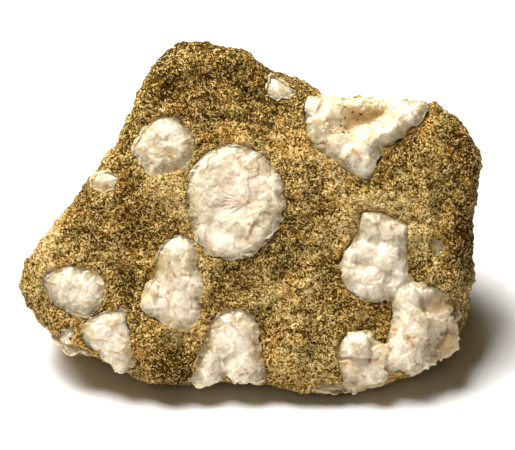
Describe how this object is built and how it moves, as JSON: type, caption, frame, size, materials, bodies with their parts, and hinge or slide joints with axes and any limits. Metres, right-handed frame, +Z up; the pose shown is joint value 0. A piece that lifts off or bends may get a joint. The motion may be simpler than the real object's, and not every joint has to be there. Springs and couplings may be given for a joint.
{
  "type": "amygdaloidal basalt specimen",
  "caption": "Broken piece of dark basalt with a leaning face, set with rounded white crystal fillings and one crystal-lined hollow, resting on a flat base.",
  "frame": {"origin": "on the surface that the stone rests on, below the middle of its box", "axes": "+X to the right along the broken face, +Z up, -Y towards the viewer whom the broken face leans away from"},
  "size_m": [0.0909, 0.0583, 0.0587],
  "materials": {
    "basalt": "rough, granular, salt-and-pepper olive brown",
    "zeolite": "milky white crystals with a glassy lustre",
    "stained_zeolite": "tan, iron-stained small crystals",
    "vug_crystals": "cream and tan crystals lining a hollow"
  },
  "bodies": {
    "root": {"amygdale_back_centre": "zeolite", "amygdale_back_left": "zeolite", "amygdale_back_right": "zeolite", "amygdale_back_top": "zeolite", "amygdale_bottom": "zeolite", "amygdale_centre": "zeolite", "amygdale_left": "zeolite", "amygdale_left_edge": "zeolite", "amygdale_left_side": "zeolite", "amygdale_lower_left": "zeolite", "amygdale_lower_left_small": "stained_zeolite", "amygdale_lower_right": "zeolite", "amygdale_middle": "zeolite", "amygdale_right_edge": "zeolite", "amygdale_right_side_back": "zeolite", "amygdale_right_side_front": "zeolite", "amygdale_right_side_low": "zeolite", "amygdale_small_right": "stained_zeolite", "amygdale_top_edge": "zeolite", "amygdale_top_right": "zeolite", "amygdale_under_front": "stained_zeolite", "amygdale_under_left": "stained_zeolite", "amygdale_upper_left": "zeolite", "basalt_matrix": "basalt", "vug_crust": "vug_crystals"}
  },
  "joints": []
}
